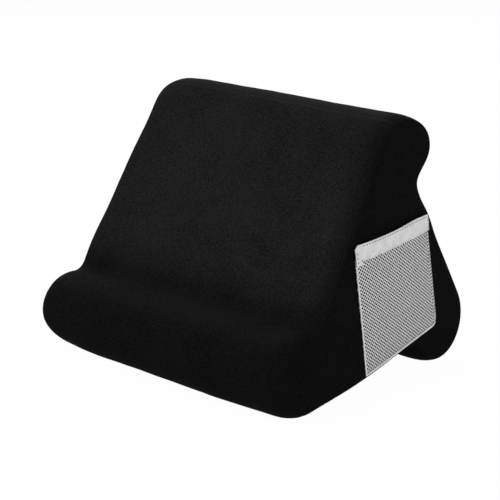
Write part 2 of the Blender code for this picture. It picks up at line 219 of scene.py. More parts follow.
class Section:
    """The outline of the cover. It can be asked for at any depth below the surface, always with
    the same number of points, clockwise from the underside's seam."""

    def __init__(self, form, make):
        self.form = form
        self.make = make
        self.lobes = self.placed_lobes()
        self.ledges = (form.front_ledge, form.rear_ledge, form.under_ledge)
        setbacks = (form.front_setback, form.back_setback, form.under_setback)
        self.faces = [self.placed_face(i, setbacks[i]) for i in range(3)]

    def centre_height(self, radius):
        return math.sqrt(radius ** 2 - (self.form.foot_width / 2) ** 2)

    def placed_lobes(self):
        form = self.form
        front_height = self.centre_height(form.front_radius)
        rear_height = self.centre_height(form.rear_radius)
        reach = math.sqrt(form.under_span ** 2 - (rear_height - front_height) ** 2)
        front_place = (form.front_radius - form.rear_radius - reach) / 2 + form.set_back
        front = Vector((front_place, front_height))
        rear = front + Vector((reach, rear_height - front_height))
        along = (rear - front).normalized()
        up = Vector((-along.y, along.x))
        side = form.front_span ** 2 - form.back_span ** 2 + form.under_span ** 2
        side /= 2 * form.under_span
        top = front + along * side + up * math.sqrt(form.front_span ** 2 - side ** 2)
        radii = (form.front_radius, form.top_radius, form.rear_radius)
        return list(zip((front, top, rear), radii))

    def placed_face(self, index, setback):
        """Heading, outward direction and hollow's centre of the face after a lobe."""
        centre, radius = self.lobes[index]
        next_centre, next_radius = self.lobes[(index + 1) % 3]
        between = next_centre - centre
        heading = unit(turn_of(between) + math.asin((next_radius - setback) / between.length))
        outward = Vector((-heading.y, heading.x))
        off_centre = setback + self.ledges[index]
        along = math.sqrt((radius + self.ledges[index]) ** 2 - off_centre ** 2)
        return heading, outward, centre + outward * off_centre + heading * along

    def arc(self, centre, radius, start, end, nominal, step, seams=(False, False)):
        marks = shares(nominal, step, *seams)
        return [centre + unit(start + (end - start) * share) * radius for share in marks]

    def lobe_turn(self, index):
        start = turn_of(self.faces[index - 1][1])
        end = turn_of(self.faces[index][2] - self.lobes[index][0])
        while end > start:
            end -= math.tau
        return start, end

    def lobe(self, index, depth, seam=None):
        """Points round a lobe, over its foot if it has one. A seam is given as its turn."""
        centre, full_radius = self.lobes[index]
        radius = full_radius - depth
        start, end = self.lobe_turn(index)
        cell = self.make.cell
        stops = [(start, start, False)]
        if index != 1:
            foot = math.acos((centre.y - depth) / radius)
            nominal = math.acos(centre.y / full_radius)
            down = -math.pi / 2
            stops.append((down + foot, down + nominal, False))
            stops.append((down - foot, down - nominal, False))
        if seam is not None:
            stops.append((seam, seam, True))
        stops.append((end, end, False))
        runs = []
        for here, there in zip(stops, stops[1:]):
            nominal = abs(there[1] - here[1]) * full_radius
            seams = (here[2], there[2])
            runs.append(self.arc(centre, radius, here[0], there[0], nominal, cell, seams))
        return runs

    def hollow(self, index, depth):
        _, outward, centre = self.faces[index]
        start = turn_of(self.lobes[index][0] - centre)
        end = turn_of(-outward)
        while end < start:
            end += math.tau
        radius = self.ledges[index]
        nominal = (end - start) * radius
        return self.arc(centre, radius + depth, start, end, nominal, self.make.hollow_cell)

    def face_end(self, index, depth):
        centre, radius = self.lobes[(index + 1) % 3]
        return centre + self.faces[index][1] * (radius - depth)

    def face_start(self, index, depth):
        _, outward, centre = self.faces[index]
        return centre - outward * (self.ledges[index] + depth)

    def straight(self, start, end, nominal, seams=(False, False)):
        return [start.lerp(end, share) for share in shares(nominal, self.make.cell, *seams)]

    def face(self, index, depth):
        nominal = (self.face_end(index, 0) - self.face_start(index, 0)).length
        return self.straight(self.face_start(index, depth), self.face_end(index, depth), nominal)

    def under_seam(self, depth):
        heading = self.faces[2][0]
        return self.face_end(2, depth) - heading * self.form.under_seam

    def runs(self, depth):
        """The stretches of the outline, each with its name."""
        top_seam = self.lobe_turn(1)[0] - self.form.top_seam_turn
        rear_foot = math.acos(self.lobes[2][0].y / self.lobes[2][1])
        rear_seam = -math.pi / 2 - rear_foot - self.form.rear_seam_turn
        seam = self.under_seam(depth)
        first, last = self.form.under_seam, (self.under_seam(0) - self.face_start(2, 0)).length
        runs = [("front", self.straight(seam, self.face_end(2, depth), first, (True, False)))]
        runs += [("front", run) for run in self.lobe(0, depth)]
        runs.append(("front hollow", self.hollow(0, depth)))
        runs.append(("front", self.face(0, depth)))
        before, after = self.lobe(1, depth, top_seam)
        runs += [("front", before), ("rear", after)]
        runs.append(("rear hollow", self.hollow(1, depth)))
        runs.append(("rear", self.face(1, depth)))
        down, across, before, after = self.lobe(2, depth, rear_seam)
        runs += [("rear", down), ("rear", across), ("rear", before), ("base", after)]
        runs.append(("base hollow", self.hollow(2, depth)))
        runs.append(("base", self.straight(self.face_start(2, depth), seam, last, (False, True))))
        return runs

    def outline(self, depth):
        """The closed outline: each point with the name of the stretch that it starts or lies in."""
        return [(point, name) for name, run in self.runs(depth) for point in run[:-1]]

    def outline_points(self, depth):
        return [point for point, _ in self.outline(depth)]

    def end_x(self, height, side=1):
        """Where the right end (side 1) or the left end (side -1) stands at a height."""
        if side > 0:
            return self.form.right_reach - self.form.right_lean * height
        return self.form.left_lean * height - self.form.left_reach

    def on_end(self, spot, side, distance=0.0):
        """A point of the section, set on an end or at a distance in from it."""
        return Vector((self.end_x(spot.y, side) - side * distance, spot.x, spot.y))

    def inset(self, distance):
        """How far the section draws in at a distance from the end."""
        share = max(0.0, 1 - distance / self.form.rounding_length)
        return self.form.rounding_depth * share ** self.form.rounding_power


# Places where the foam has settled: middle, reach along each axis, and shift
SETTLING = (
    ((0.100, 0.030, 0.225), (0.080, 0.060, 0.035), (0.0, 0.0, -0.0035)),
    ((0.135, 0.065, 0.200), (0.030, 0.025, 0.022), (0.0, 0.0046, 0.0010)),
    ((0.135, 0.075, 0.166), (0.250, 0.024, 0.0128), (0.0, -0.0110, 0.0)),
    ((0.135, 0.083, 0.139), (0.250, 0.010, 0.014), (0.0, 0.0050, 0.0)),
    ((0.135, 0.048, 0.136), (0.050, 0.020, 0.009), (0.0, 0.0, 0.0024)),
    ((-0.095, 0.040, 0.222), (0.030, 0.050, 0.030), (0.0, 0.0, 0.0008)),
    ((-0.130, 0.020, 0.195), (0.030, 0.060, 0.045), (0.0042, 0.0, 0.0)),
    ((-0.135, -0.050, 0.083), (0.030, 0.060, 0.026), (-0.0034, 0.0, 0.0)),
    ((0.140, -0.100, 0.004), (0.028, 0.050, 0.035), (-0.0026, 0.0, 0.0020)),
    ((0.135, 0.000, 0.010), (0.040, 0.070, 0.025), (0.0, 0.0, -0.0020)),
    ((-0.125, -0.095, 0.070), (0.055, 0.040, 0.030), (0.0, 0.0, -0.0028)),
    ((-0.140, -0.100, 0.008), (0.035, 0.050, 0.026), (0.0016, 0.0, 0.0030)),
    ((0.020, -0.125, 0.025), (0.090, 0.050, 0.040), (0.0, -0.0022, 0.0)),
)


def settled(point):
    """Where a point lies once the soft foam has settled, never below the floor."""
    moved = point.copy()
    for centre, reach, shift in SETTLING:
        away = [(point[i] - centre[i]) / reach[i] for i in range(3)]
        moved += Vector(shift) * math.exp(-sum(a * a for a in away))
    moved.z = max(moved.z, 0.0)
    return moved


# Mesh work

def deselect():
    for thing in bpy.context.selected_objects:
        thing.select_set(False)


def activate(thing):
    deselect()
    thing.select_set(True)
    bpy.context.view_layer.objects.active = thing


def edit_all(thing):
    """Opens a piece in edit mode with all of it selected."""
    activate(thing)
    bpy.ops.object.mode_set(mode="EDIT")
    bpy.ops.mesh.select_all(action="SELECT")


def new_object(name, shape):
    mesh = bpy.data.meshes.new(name)
    shape.to_mesh(mesh)
    shape.free()
    thing = bpy.data.objects.new(name, mesh)
    bpy.context.scene.collection.objects.link(thing)
    return thing


def apply_modifier(thing, kind, **values):
    """Adds a modifier and applies it at once."""
    activate(thing)
    modifier = thing.modifiers.new(kind.lower(), kind)
    for name, value in values.items():
        setattr(modifier, name, value)
    bpy.ops.object.modifier_apply(modifier=modifier.name)


def smooth_by_angle(thing, degrees):
    activate(thing)
    bpy.ops.object.shade_smooth_by_angle(angle=math.radians(degrees))


def dress(piece, material, slot, *nodes):
    """Gives a finished piece its material and body, and hides the nodes that it stands for. The slot is
    not used.
    """
    piece.data.materials.clear()
    piece.data.materials.append(material)
    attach(piece, "root")
    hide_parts(*nodes)


# Cover

def width_marks(section):
    """Cross sections from the right end to the left: side and distance from that end near the
    ends, and a share of the way from right to left between them."""
    form = section.form
    near = [form.rounding_length * share for share in shares(form.rounding_length, END_STEP, True)]
    span = form.left_reach + form.right_reach - 2 * form.rounding_length
    count = round(span / section.make.cell)
    right = [(1, distance, None) for distance in near]
    middle = [(0, None, i / count) for i in range(1, count)]
    left = [(-1, distance, None) for distance in reversed(near)]
    return right + middle + left


def belt_row(section, mark):
    """The points of one cross section."""
    side, distance, share = mark
    if share is None:
        outline = section.outline_points(section.inset(distance))
        return [section.on_end(p, side, distance) for p in outline]
    inner = section.form.rounding_length
    points = []
    for p in section.outline_points(0.0):
        right = section.end_x(p.y) - inner
        left = section.end_x(p.y, -1) + inner
        points.append(Vector((right + (left - right) * share, p.x, p.y)))
    return points


def panel_of(name):
    return {"front": FRONT, "rear": REAR, "base": BASE}[name.split()[0]]


def end_rings(section):
    """Depths of the rings that carry an end panel in from its seam."""
    return [section.form.rounding_depth + extra for extra in (*NEAR_SEAM[1:], 0.0090)]


def fill_points(loop, step):
    """Even points inside a closed loop of 2D points, clear of the loop."""
    low_y, high_y = min(p.x for p in loop), max(p.x for p in loop)
    low_z, high_z = min(p.y for p in loop), max(p.y for p in loop)
    rise = step * math.sqrt(3) / 2
    found = []
    for row in range(1, int((high_z - low_z) / rise) + 1):
        z = low_z + row * rise
        for column in range(int((high_y - low_y) / step) + 2):
            spot = Vector((low_y + (column + 0.5 * (row % 2)) * step, z))
            if inside(spot, loop) and clearance(spot, loop) > 0.6 * step:
                found.append(spot)
    return found


def inside(spot, loop):
    crossings = 0
    for a, b in zip(loop, loop[1:] + loop[:1]):
        if (a.y > spot.y) != (b.y > spot.y):
            if spot.x < a.x + (b.x - a.x) * (spot.y - a.y) / (b.y - a.y):
                crossings += 1
    return crossings % 2 == 1


def clearance(spot, loop):
    return min((spot - p).length for p in loop)


def add_end(cover, section, side, seam_ring, panel_layer, panel):
    """Closes one end of the cover, from the seam in."""
    def new_vertex(spot):
        return cover.verts.new(settled(section.on_end(spot, side)))

    rings = [seam_ring]
    for depth in end_rings(section):
        rings.append([new_vertex(p) for p in section.outline_points(depth)])
    count = len(seam_ring)
    for outer, inner in zip(rings, rings[1:]):
        for i in range(count):
            j = (i + 1) % count
            face = cover.faces.new((outer[i], outer[j], inner[j], inner[i]))
            face[panel_layer] = panel
    loop = section.outline_points(end_rings(section)[-1])
    flat = loop + fill_points(loop, section.make.cell)
    found = geometry.delaunay_2d_cdt(flat, [], [list(range(count))], 1, 1e-7)
    places, _, triangles, origins = found[:4]
    known = {}
    for i, origin in enumerate(origins):
        if origin and origin[0] < count:
            known[i] = rings[-1][origin[0]]
        else:
            known[i] = new_vertex(places[i])
    for triangle in triangles:
        face = cover.faces.new([known[i] for i in triangle])
        face[panel_layer] = panel


def cover_form(section):
    """The cover's closed form, with the number of its panel on each face."""
    cover = bmesh.new()
    panel_layer = cover.faces.layers.int.new("panel")
    names = [name for _, name in section.outline(0.0)]
    rows = []
    for mark in width_marks(section):
        rows.append([cover.verts.new(settled(p)) for p in belt_row(section, mark)])
    count = len(names)
    for right, left in zip(rows, rows[1:]):
        for i in range(count):
            j = (i + 1) % count
            face = cover.faces.new((right[i], right[j], left[j], left[i]))
            face[panel_layer] = panel_of(names[i])
    add_end(cover, section, 1, rows[0], panel_layer, RIGHT_END)
    add_end(cover, section, -1, rows[-1], panel_layer, LEFT_END)
    bmesh.ops.recalc_face_normals(cover, faces=cover.faces)
    seams = seam_vertices(cover, panel_layer)
    hollows = set()
    for row in rows:
        for vertex, name in zip(row, names):
            if name.endswith("hollow"):
                hollows.add(vertex)
    cover.verts.index_update()
    seam_numbers = [v.index for v in cover.verts if v in seams]
    hollow_numbers = [v.index for v in cover.verts if v in hollows]
    return cover, seam_numbers, hollow_numbers


def seam_vertices(cover, panel_layer):
    """Vertices where two panels meet."""
    found = set()
    for edge in cover.edges:
        if len({face[panel_layer] for face in edge.link_faces}) > 1:
            found.update(edge.verts)
    return found


def sewn_to_pocket(point, pocket):
    """Whether a point of the end panel lies on the pocket's sewn sides or bottom."""
    if point.x < 0:
        return False
    across, up = pocket.shares_at(point.y, point.z)
    near = 0.03
    on_side = (abs(across) < near or abs(across - 1) < near) and -near < up < 1
    on_bottom = abs(up) < near and -near < across < 1 + near
    return on_side or on_bottom


def swell(thing, make):
    """Fills the cover from inside with Cloth, then holds it to its limit."""
    starts = [v.co.copy() for v in thing.data.vertices]
    normals = [v.normal.copy() for v in thing.data.vertices]
    activate(thing)
    modifier = thing.modifiers.new("swelling", "CLOTH")
    cloth = modifier.settings
    cloth.quality = 6
    cloth.mass = 0.2
    cloth.tension_stiffness = 25
    cloth.compression_stiffness = 25
    cloth.shear_stiffness = 10
    cloth.bending_stiffness = 2
    cloth.use_pressure = True
    cloth.uniform_pressure_force = make.pressure
    cloth.vertex_group_mass = "held"
    cloth.effector_weights.gravity = 0
    modifier.collision_settings.use_collision = False
    modifier.point_cache.frame_start = 1
    modifier.point_cache.frame_end = make.frames
    scene = bpy.context.scene
    for step in range(1, make.frames + 1):
        scene.frame_set(step)
    bpy.ops.object.modifier_apply(modifier=modifier.name)
    scene.frame_set(1)
    ends = thing.vertex_groups["ends"].index
    for vertex, start, normal in zip(thing.data.vertices, starts, normals):
        on_end = any(g.group == ends for g in vertex.groups)
        limit = make.end_swell_limit if on_end else make.swell_limit
        outward = max(0.0, (vertex.co - start).dot(normal))
        vertex.co = start + normal * limit * math.tanh(outward / limit)


def add_group(thing, name, numbers):
    thing.vertex_groups.new(name=name).add(numbers, 1.0, "REPLACE")


def seam_weights(thing):
    """For each vertex, 1 on a seam and less beside it."""
    seam = thing.vertex_groups["seams"].index
    weights = []
    for vertex in thing.data.vertices:
        weights.append(next((g.weight for g in vertex.groups if g.group == seam), 0.0))
    return weights


# Gathers: distance from the front hollow's rim, fading width, and place and reach of the strongest
GATHER_OFF = 0.004
GATHER_WIDTH = 0.010
GATHER_X = 0.112
GATHER_REACH = 0.022

# Where the cover lies taut: below this height, and within this distance of the right end
TAUT_HEIGHT = 0.004
TAUT_END = 0.006


def soft_relief(point, make, section):
    """Height of the foam's unevenness and of the gathers beside the front hollow."""
    broad = noise.noise(point * 22 + Vector((3.1, 7.7, 1.3)))
    small = noise.noise(point * 60 + Vector((9.2, 0.4, 5.5)))
    height = make.unevenness * (broad + 0.35 * small)
    _, outward, centre = section.faces[0]
    in_section = Vector((point.y, point.z)) - centre
    if in_section.dot(outward) >= GATHER_OFF:
        return height
    beside = abs(in_section.length - section.form.front_ledge - GATHER_OFF)
    reach = math.exp(-(beside / GATHER_WIDTH) ** 2)
    if reach > 0.01:
        ripple = noise.noise(Vector((point.x * 95, point.y * 30, 4.0)))
        ends = 0.12 + 0.88 * math.exp(-((point.x - GATHER_X) / GATHER_REACH) ** 2)
        height += make.pucker_height * reach * ends * ripple * 2
    return height


def finish_surface(thing, make, section):
    """Draws in the seams and lays the soft relief on the finer mesh."""
    weights = seam_weights(thing)
    mesh = thing.data
    # Painted highlight along the seams, weaker round the ends, stored for the velvet's material
    seam = mesh.attributes.new("seam", "FLOAT", "POINT")
    seam_highlight = [weight * seam_highlight_strength(v.co, section) for v, weight in zip(mesh.vertices, weights)]
    seam.data.foreach_set("value", seam_highlight)
    normals = [v.normal.copy() for v in mesh.vertices]
    for vertex, normal, weight in zip(mesh.vertices, normals, weights):
        height = soft_relief(vertex.co, make, section)
        in_from_end = section.end_x(vertex.co.z) - vertex.co.x
        if vertex.co.z < TAUT_HEIGHT or in_from_end < TAUT_END:
            height = min(height, 0.0)
        calm = 1 - weight
        vertex.co += normal * (height * calm - make.seam_depth * weight ** 2)
        vertex.co.z = max(vertex.co.z, 0.0)


def seam_highlight_strength(point, section):
    """How strong the painted highlight along a seam is: least round the ends."""
    right = section.end_x(point.z) - point.x
    left = point.x - section.end_x(point.z, -1)
    return 0.05 if min(right, left) < 0.003 else 1.0


def smooth_step(value, low, high):
    share = min(max((value - low) / (high - low), 0.0), 1.0)
    return share * share * (3 - 2 * share)


# Painted light and shade on the velvet, against the front face's level: painted shade on the pocket's
# end, painted shade on the front lobe, a painted highlight added along that lobe's crest, the painted
# level on the back, and painted shade taken off at the front face's top right
PAINTED_SHADE_END = 0.38
PAINTED_SHADE_LOBE = 0.43
PAINTED_HIGHLIGHT_CREST = 0.24
PAINTED_LIGHT_BACK = 0.90
PAINTED_SHADE_TOP_RIGHT = 0.16


def painted_light_at(point, panel, section):
    """Painted light and shade: a factor on the velvet's colour, lower where shade falls and higher where
    light falls.
    """
    if panel == RIGHT_END:
        return PAINTED_SHADE_END
    if panel == LEFT_END:
        return PAINTED_LIGHT_BACK
    if panel != FRONT:
        nap = PAINTED_LIGHT_BACK
    else:
        heading, _, centre = section.faces[0]
        up_face = (Vector((point.y, point.z)) - centre).dot(heading)
        # Painted highlight along the front lobe's crest, painted shade over the lobe and the face just
        # above the hollow, and painted shade at the face's top right
        crest = PAINTED_HIGHLIGHT_CREST * math.exp(-((up_face + 0.020) / 0.013) ** 2)
        nap = PAINTED_SHADE_LOBE + (1 - PAINTED_SHADE_LOBE) * smooth_step(up_face, -0.014, 0.034) + crest
        nap -= PAINTED_SHADE_TOP_RIGHT * smooth_step(point.z, 0.15, 0.20) * smooth_step(point.x, 0.03, 0.11)
    # Painted shade that deepens towards the right end, where the cover rounds away from the light
    in_from_end = section.end_x(point.z) - point.x
    return PAINTED_SHADE_END + (nap - PAINTED_SHADE_END) * smooth_step(in_from_end, -0.004, 0.024)


def paint_light_and_shade(piece, panel, section):
    """Writes the painted light and shade on a panel for its material."""
    mesh = piece.data
    nap = mesh.attributes.new("nap", "FLOAT", "POINT")
    nap.data.foreach_set("value", [painted_light_at(v.co, panel, section) for v in mesh.vertices])


def split_panel(whole, number_of_panel, name, thickness):
    """One panel of the cover as a piece of its own, with the cloth's thickness."""
    shape = bmesh.new()
    shape.from_mesh(whole.data)
    panel_layer = shape.faces.layers.int["panel"]
    others = [face for face in shape.faces if face[panel_layer] != number_of_panel]
    bmesh.ops.delete(shape, geom=others, context="FACES")
    piece = new_object(name, shape)
    apply_modifier(piece, "SOLIDIFY", thickness=thickness, offset=-1.0)
    smooth_by_angle(piece, 50)
    return piece


def add_foam(whole, depth):
    """The foam filling, just inside the cover."""
    shape = bmesh.new()
    shape.from_mesh(whole.data)
    normals = [v.normal.copy() for v in shape.verts]
    for vertex, normal in zip(shape.verts, normals):
        vertex.co -= normal * depth
    piece = new_object("foam_filling", shape)
    smooth_by_angle(piece, 50)
    return piece


class STAND_OT_cover(bpy.types.Operator):
    """Make the foam filling and the five sewn panels of the cover"""

    bl_idname = "stand.cover"
    bl_label = "Sewn cover"

    def execute(self, context):
        make, finish = context.scene.stand_cover, context.scene.stand_finish
        pocket = pocket_surface(context.scene)
        section = pocket.section
        shape, seams, hollows = cover_form(section)
        whole = new_object("cover_form", shape)
        ends = end_vertices(whole)
        sewn = [i for i in ends if sewn_to_pocket(whole.data.vertices[i].co, pocket)]
        add_group(whole, "seams", seams)
        add_group(whole, "ends", ends)
        add_group(whole, "held", sorted({*seams, *hollows, *sewn}))
        swell(whole, make)
        foam = add_foam(whole, make.foam_depth)
        apply_modifier(whole, "SUBSURF", levels=1, render_levels=1)
        finish_surface(whole, make, section)
        velvet = velvet_material(finish)
        for number_of_panel, node in enumerate(PANELS):
            piece = split_panel(whole, number_of_panel, node + "_velvet", make.cloth_thickness)
            # Painted light and shade, written on each panel
            paint_light_and_shade(piece, number_of_panel, section)
            dress(piece, velvet, "velvet", node)
        bpy.data.objects.remove(whole, do_unlink=True)
        dress(foam, foam_material(finish), "foam", "foam_core")
        return {"FINISHED"}


def end_vertices(whole):
    """Vertices of the two end panels."""
    layer = whole.data.attributes["panel"].data
    found = set()
    for face in whole.data.polygons:
        if layer[face.index].value in (LEFT_END, RIGHT_END):
            found.update(face.vertices)
    return sorted(found)


# Pocket

# How far its inner face stands off the end panel, and its pieces off that face
INNER_FACE_OFF = 0.0004
NET_OFF = 0.0002
EDGE_OFF = 0.0005
BAND_OFF = 0.0008

# Thickness of the narrow tapes, crown of the chained edge, and how far a stitch stands off its tape
EDGE_THICKNESS = 0.0006
CHAIN_CROWN = 0.0003
STITCH_OFF = 0.0002


class PocketSurface:
    """The pocket's inner face. Across and up go from 0 to 1, from its lower front corner."""

    def __init__(self, section, make):
        self.section = section
        self.make = make
        names = ("low_front", "low_rear", "top_front", "top_rear")
        self.corners = [Vector(getattr(make, name)) for name in names]
        low_front, low_rear, top_front, top_rear = self.corners
        self.width = ((low_rear - low_front).length + (top_rear - top_front).length) / 2
        self.height = ((top_front - low_front).length + (top_rear - low_rear).length) / 2

    def flat(self, across, up):
        low_front, low_rear, top_front, top_rear = self.corners
        return low_front.lerp(low_rear, across).lerp(top_front.lerp(top_rear, across), up)

    def shares_at(self, y, z):
        """Across and up of a place on the end panel."""
        across, up = 0.5, 0.5
        goal = Vector((y, z))
        step = 1e-4
        for _ in range(6):
            here = self.flat(across, up)
            along = (self.flat(across + step, up) - here) / step
            rise = (self.flat(across, up + step) - here) / step
            miss = goal - here
            turn = along.x * rise.y - along.y * rise.x
            across += (miss.x * rise.y - miss.y * rise.x) / turn
            up += (along.x * miss.y - along.y * miss.x) / turn
        return across, up

    def lift(self, across, up):
        """How far the pocket stands off the end panel."""
        across = min(max(across, 0.0), 1.0)
        up = min(max(up, 0.0), 1.0)
        flatness = 1 - abs(2 * across - 1) ** self.make.bow_flatness
        return self.make.bow * flatness * (1 - (1 - up) ** 2)

    def rounded(self, across, up):
        """The same place with the lower rear corner rounded off."""
        wide, high = self.make.corner_rounding / self.width, self.make.corner_rounding / self.height
        right, down = (across - 1) / wide + 1, 1 - up / high
        if right <= 0 or down <= 0:
            return across, up
        right, down = min(right, 1.0), min(down, 1.0)
        in_right = right * (1 - math.sqrt(1 - down * down / 2))
        in_down = down * (1 - math.sqrt(1 - right * right / 2))
        return across - in_right * wide, up + in_down * high

    def point(self, across, up, off):
        spot = self.flat(*self.rounded(across, up))
        x = self.section.end_x(spot.y) + INNER_FACE_OFF + self.lift(across, up) + off
        return settled(Vector((x, spot.x, spot.y)))


def pocket_surface(scene):
    return PocketSurface(Section(scene.stand_form, scene.stand_cover), scene.stand_pocket)


def add_grid(name, columns, rows, place_of):
    """A grid laid by a function of its two shares."""
    deselect()
    bpy.ops.mesh.primitive_grid_add(x_subdivisions=columns, y_subdivisions=rows, size=2.0)
    thing = bpy.context.active_object
    thing.name = name
    thing.data.name = name
    for vertex in thing.data.vertices:
        vertex.co = place_of((vertex.co.x + 1) / 2, (vertex.co.y + 1) / 2)
    return thing


def add_cell(hole_step, row_step, make):
    """One hole of the net with its thread round it, flat."""
    deselect()
    bpy.ops.mesh.primitive_circle_add(vertices=4, radius=1.0, fill_type="NGON")
    cell = bpy.context.active_object
    cell.name = "pocket_net"
    far, near = (hole_step + row_step) / 2, (row_step - hole_step) / 2
    for vertex, corner in zip(cell.data.vertices, (far, near, -far, -near)):
        vertex.co = corner.to_3d()
    edit_all(cell)
    bpy.ops.mesh.select_mode(type="FACE")
    bpy.ops.mesh.inset(thickness=make.thread)
    bpy.ops.mesh.delete(type="FACE")
    bpy.ops.object.mode_set(mode="OBJECT")
    return cell


def add_net(surface, make):
    """The net: a slanting lattice of holes, cut to the pocket and laid on it."""
    hole_step, row_step = Vector(make.hole_step), Vector(make.row_step)
    turn = hole_step.x * row_step.y - hole_step.y * row_step.x
    front = (make.edge_width - make.net_tuck) / surface.width
    rear = 1 - (make.chain_width - make.net_tuck) / surface.width
    low = (make.edge_width - make.net_tuck) / surface.height
    high = 1 - (make.band_height - make.net_tuck) / surface.height
    spots = ((front, low), (rear, low), (rear, high), (front, high))
    corners = [surface.flat(*spot) for spot in spots]
    middle = sum(corners, Vector((0, 0))) / 4
    holes = [((c - middle).x * row_step.y - (c - middle).y * row_step.x) / turn for c in corners]
    rows = [((c - middle).y * hole_step.x - (c - middle).x * hole_step.y) / turn for c in corners]
    columns = 2 * math.ceil(max(map(abs, holes)) + 1)
    lines = 2 * math.ceil(max(map(abs, rows)) + 1)
    net = add_cell(hole_step, row_step, make)
    for step, count in ((hole_step, columns), (row_step, lines)):
        apply_modifier(net, "ARRAY", count=count, use_relative_offset=False, use_constant_offset=True,
                       constant_offset_displace=step.to_3d(), use_merge_vertices=True,
                       merge_threshold=1e-5)
    first = middle - hole_step * (columns - 1) / 2 - row_step * (lines - 1) / 2
    for vertex in net.data.vertices:
        vertex.co += first.to_3d()
    apply_modifier(net, "SUBSURF", levels=1, render_levels=1)
    bpy.ops.object.mode_set(mode="EDIT")
    for start, end in zip(corners, corners[1:] + corners[:1]):
        along = end - start
        outward = Vector((along.y, -along.x, 0.0))
        bpy.ops.mesh.select_all(action="SELECT")
        bpy.ops.mesh.bisect(plane_co=start.to_3d(), plane_no=outward, clear_outer=True)
    bpy.ops.object.mode_set(mode="OBJECT")
    for vertex in net.data.vertices:
        across, up = surface.shares_at(vertex.co.x, vertex.co.y)
        vertex.co = surface.point(across, up, NET_OFF)
    return net


def face_out(thing):
    """Turns a sheet's faces towards +X."""
    lean = sum(face.normal.x for face in thing.data.polygons)
    if lean < 0:
        edit_all(thing)
        bpy.ops.mesh.flip_normals()
        bpy.ops.object.mode_set(mode="OBJECT")


class STAND_OT_net(bpy.types.Operator):
    """Make the pocket's net"""

    bl_idname = "stand.net"
    bl_label = "Pocket net"

    def execute(self, context):
        make, finish = context.scene.stand_pocket, context.scene.stand_finish
        surface = pocket_surface(context.scene)
        net = add_net(surface, make)
        face_out(net)
        apply_modifier(net, "SOLIDIFY", thickness=make.net_thickness, offset=1.0)
        smooth_by_angle(net, 60)
        dress(net, net_material(finish), "mesh", "pocket_mesh")
        return {"FINISHED"}


def laid_strip(surface, across, up, off, crown, cut=0.0):
    """How a strip lies on the pocket between two shares across and two up: crowned in its middle,
    with its front upper corner cut off."""
    upright = across[1] - across[0] < up[1] - up[0]
    strip_height = (up[1] - up[0]) * surface.height

    def laid(u, v):
        share_across = across[0] + (across[1] - across[0]) * u
        lost = max(0.0, cut - share_across * surface.width) / strip_height
        share_up = up[0] + (up[1] - up[0]) * v * (1 - lost)
        edge = (u if upright else v) * 2 - 1
        return surface.point(share_across, share_up, off + crown * (1 - edge * edge))

    return laid


def add_tape(surface, name, across, up, cells, thickness, off, cut):
    """A flat tape with a softly rounded rim."""
    rim = thickness * 0.3
    tape = add_grid(name, *cells, laid_strip(surface, across, up, off, rim, cut))
    face_out(tape)
    apply_modifier(tape, "SOLIDIFY", thickness=thickness, offset=1.0)
    apply_modifier(tape, "BEVEL", width=rim, segments=2, limit_method="ANGLE")
    smooth_by_angle(tape, 50)
    return tape


def add_chain(surface, across, up, make, off):
    """The rear edge of the net: two rows of open links."""
    rows = round((up[1] - up[0]) * surface.height / make.chain_pitch)
    chain = add_grid("pocket_rear_chain", 2, rows, laid_strip(surface, across, up, off, CHAIN_CROWN))
    face_out(chain)
    edit_all(chain)
    bpy.ops.mesh.select_mode(type="FACE")
    bpy.ops.mesh.inset(thickness=make.thread, use_individual=True)
    bpy.ops.mesh.delete(type="FACE")
    bpy.ops.object.mode_set(mode="OBJECT")
    apply_modifier(chain, "SUBSURF", levels=1, render_levels=1)
    apply_modifier(chain, "SOLIDIFY", thickness=make.net_thickness, offset=1.0)
    smooth_by_angle(chain, 60)
    return chain


class STAND_OT_tapes(bpy.types.Operator):
    """Make the band along the pocket's mouth and the edges round its other sides"""

    bl_idname = "stand.tapes"
    bl_label = "Pocket tapes"

    def execute(self, context):
        make, finish = context.scene.stand_pocket, context.scene.stand_finish
        surface = pocket_surface(context.scene)
        side = make.edge_width / surface.width
        chain = 1 - make.chain_width / surface.width
        low = make.edge_width / surface.height
        band = 1 - make.band_height / surface.height
        fold = (make.fold_width / surface.width, 1 - make.fold_height / surface.height)
        over = BAND_OFF + make.band_thickness
        cut = make.band_corner
        tape = tape_material(finish)
        # Each tape: its name, stretch across and up, cells, thickness, distance off, cut and node
        for name, across, up, cells, thickness, off, cut_off, nodes in (
            ("pocket_band", (0, 1), (band, 1), (60, 6),
             make.band_thickness, BAND_OFF, cut, ["pocket_top_band"]),
            ("pocket_band_fold", (-0.004, fold[0]), (fold[1], 1.003), (8, 16),
             EDGE_THICKNESS, over, cut, []),
            ("pocket_front_tape", (0, side), (low, band), (2, 40),
             EDGE_THICKNESS, EDGE_OFF, 0.0, ["pocket_front_selvedge"]),
            ("pocket_bottom_tape", (0, 1), (0, low), (60, 2),
             EDGE_THICKNESS, EDGE_OFF, 0.0, ["pocket_bottom_selvedge"]),
        ):
            piece = add_tape(surface, name, across, up, cells, thickness, off, cut_off)
            dress(piece, tape, "tape", *nodes)
        chained = add_chain(surface, (chain, 1), (low, band), make, EDGE_OFF)
        dress(chained, net_material(finish), "tape", "pocket_rear_selvedge")
        return {"FINISHED"}


